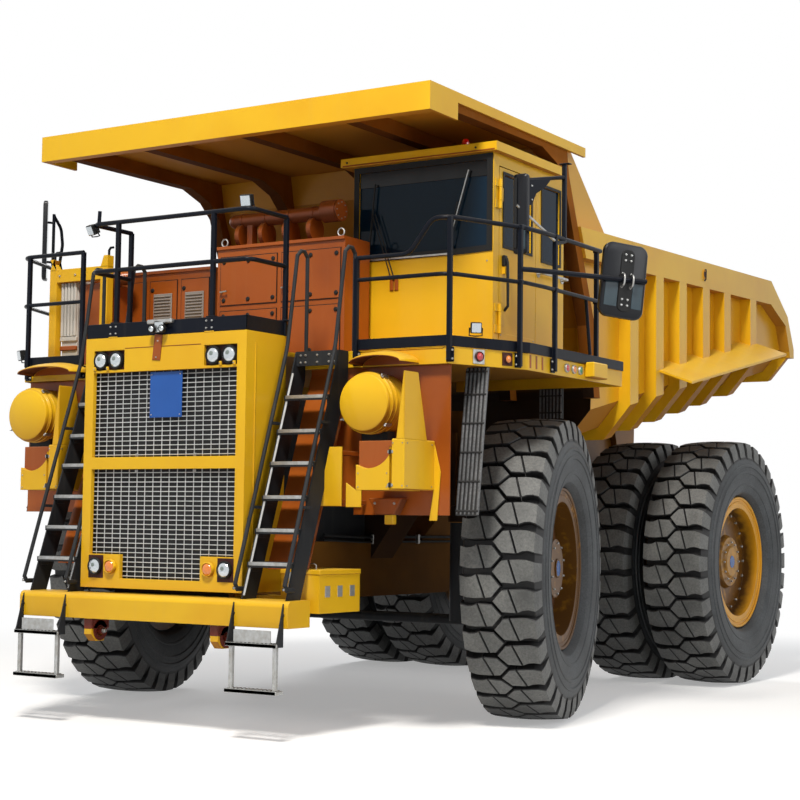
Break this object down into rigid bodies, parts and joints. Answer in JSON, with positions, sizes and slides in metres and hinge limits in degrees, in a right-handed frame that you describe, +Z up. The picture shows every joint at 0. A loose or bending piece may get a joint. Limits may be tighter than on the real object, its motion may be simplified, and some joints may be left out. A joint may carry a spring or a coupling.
{
  "type": "mining dump truck",
  "caption": "Rigid mining dump truck with a steered front axle, twin rear wheels, cab on the left of a railed deck, and a hoisted load body with a canopy.",
  "frame": {"origin": "on the ground, under the middle of the truck's overall length and width", "axes": "+Z up, the front faces -Y, +X towards the truck's left side, where the cab stands"},
  "size_m": [6.7184, 9.93, 5.376],
  "materials": {
    "yellow_paint": "semi-gloss",
    "tyre_rubber": "matte",
    "navy_paint": "semi-gloss",
    "orange_paint": "satin",
    "black_rubber": "matte",
    "dark_steel": "satin",
    "grey_paint": "satin",
    "window_glass": "clear",
    "lamp_lens": "clear",
    "seat_fabric": "matte",
    "dash_plastic": "matte",
    "hoist_paint": "semi-gloss",
    "hoist_chrome": "polished"
  },
  "bodies": {
    "chassis": {"frame": "yellow_paint", "rear_axle": "yellow_paint", "rear_struts": "dark_steel", "engine_block": "dark_steel", "radiator_shell": "yellow_paint", "radiator_core": "dark_steel", "grille": "grey_paint", "bumper": "yellow_paint", "ladders": "dark_steel", "decks": "yellow_paint", "wheelhouse": "orange_paint", "fenders": "yellow_paint", "air_cleaners": "yellow_paint", "handrails": "navy_paint", "cab_shell": "yellow_paint", "cab_roof": "yellow_paint", "cab_glass": "window_glass", "driver_seat": "seat_fabric", "dashboard": "dash_plastic", "deck_cabinets": "orange_paint", "grid_box": "yellow_paint", "tanks": "yellow_paint", "toolbox": "yellow_paint", "mirrors": "navy_paint", "mud_flaps": "black_rubber", "lamps": "lamp_lens"},
    "knuckle_left": {"knuckle_left": "dark_steel"},
    "front_wheel_left": {"front_rim_left": "yellow_paint", "front_tyre_left": "tyre_rubber"},
    "rear_wheels_left": {"rear_rims_left": "yellow_paint", "rear_tyres_left": "tyre_rubber"},
    "hoist_barrel_left": {"hoist_barrel_left": "hoist_paint"},
    "hoist_stage_left": {"hoist_stage_left": "hoist_chrome"},
    "hoist_rod_left": {"hoist_rod_left": "hoist_chrome"},
    "knuckle_right": {"knuckle_right": "dark_steel"},
    "front_wheel_right": {"front_rim_right": "yellow_paint", "front_tyre_right": "tyre_rubber"},
    "rear_wheels_right": {"rear_rims_right": "yellow_paint", "rear_tyres_right": "tyre_rubber"},
    "hoist_barrel_right": {"hoist_barrel_right": "hoist_paint"},
    "hoist_stage_right": {"hoist_stage_right": "hoist_chrome"},
    "hoist_rod_right": {"hoist_rod_right": "hoist_chrome"},
    "tie_rod": {"tie_rod": "dark_steel"},
    "door": {"cab_door": "yellow_paint", "door_glass": "window_glass"},
    "dump_body": {"load_body": "yellow_paint", "body_ribs": "yellow_paint", "top_rails": "yellow_paint", "rock_ledges": "yellow_paint", "bolsters": "yellow_paint", "canopy": "yellow_paint", "canopy_beams": "yellow_paint"}
  },
  "joints": [
    {"name": "bed_lift", "type": "hinge", "parent": "chassis", "child": "dump_body", "pos_m": [0, 3.175, 2.2], "axis": [-1, 0, 0], "range_deg": [0, 45]},
    {"name": "steer_left", "type": "hinge", "parent": "chassis", "child": "knuckle_left", "pos_m": [1.525, -2.225, 1.345], "axis": [0, 0, 1], "range_deg": [-49.4, 22.6]},
    {"name": "front_wheel_left_spin", "type": "hinge", "parent": "knuckle_left", "child": "front_wheel_left", "pos_m": [2.16703, -2.07205, 1.345], "axis": [0.9728, 0.2317, 0], "continuous": true},
    {"name": "rear_wheels_left_spin", "type": "hinge", "parent": "chassis", "child": "rear_wheels_left", "pos_m": [2.17, 2.345, 1.345], "axis": [1, 0, 0], "continuous": true},
    {"name": "hoist_left_swing", "type": "hinge", "parent": "chassis", "child": "hoist_barrel_left", "pos_m": [0.775, 0.775, 1.1], "axis": [-1, 0, 0], "range_deg": [0, 21.93]},
    {"name": "hoist_left_stage_slide", "type": "slide", "parent": "hoist_barrel_left", "child": "hoist_stage_left", "axis": [0, -0.1414, 0.9899], "range_m": [0, 0.915]},
    {"name": "hoist_left_rod_slide", "type": "slide", "parent": "hoist_stage_left", "child": "hoist_rod_left", "axis": [0, -0.1414, 0.9899], "range_m": [0, 0.915]},
    {"name": "steer_right", "type": "hinge", "parent": "chassis", "child": "knuckle_right", "pos_m": [-1.525, -2.225, 1.345], "axis": [0, 0, 1], "range_deg": [-49.4, 22.6]},
    {"name": "front_wheel_right_spin", "type": "hinge", "parent": "knuckle_right", "child": "front_wheel_right", "pos_m": [-2.16703, -2.37795, 1.345], "axis": [0.9728, 0.2317, 0], "continuous": true},
    {"name": "rear_wheels_right_spin", "type": "hinge", "parent": "chassis", "child": "rear_wheels_right", "pos_m": [-2.17, 2.345, 1.345], "axis": [1, 0, 0], "continuous": true},
    {"name": "hoist_right_swing", "type": "hinge", "parent": "chassis", "child": "hoist_barrel_right", "pos_m": [-0.775, 0.775, 1.1], "axis": [-1, 0, 0], "range_deg": [0, 21.93]},
    {"name": "hoist_right_stage_slide", "type": "slide", "parent": "hoist_barrel_right", "child": "hoist_stage_right", "axis": [0, -0.1414, 0.9899], "range_m": [0, 0.915]},
    {"name": "hoist_right_rod_slide", "type": "slide", "parent": "hoist_stage_right", "child": "hoist_rod_right", "axis": [0, -0.1414, 0.9899], "range_m": [0, 0.915]},
    {"name": "tie_rod_link", "type": "hinge", "parent": "knuckle_left", "child": "tie_rod", "pos_m": [1.41376, -1.75807, 0.83], "axis": [0, 0, 1], "range_deg": [-22.6, 49.4]},
    {"name": "door_swing", "type": "hinge", "parent": "chassis", "child": "door", "pos_m": [2.216, -2.865, 4], "axis": [0, 0, -1], "range_deg": [0, 35]}
  ],
  "couplings": [
    {"joint": "steer_right", "follows": "steer_left", "ratio": 1},
    {"joint": "tie_rod_link", "follows": "steer_left", "ratio": -1},
    {"joint": "hoist_left_swing", "follows": "bed_lift", "ratio": 0.4873},
    {"joint": "hoist_left_stage_slide", "follows": "bed_lift", "m_per_rad": 1.165},
    {"joint": "hoist_left_rod_slide", "follows": "bed_lift", "m_per_rad": 1.165},
    {"joint": "hoist_right_swing", "follows": "bed_lift", "ratio": 0.4873},
    {"joint": "hoist_right_stage_slide", "follows": "bed_lift", "m_per_rad": 1.165},
    {"joint": "hoist_right_rod_slide", "follows": "bed_lift", "m_per_rad": 1.165}
  ]
}
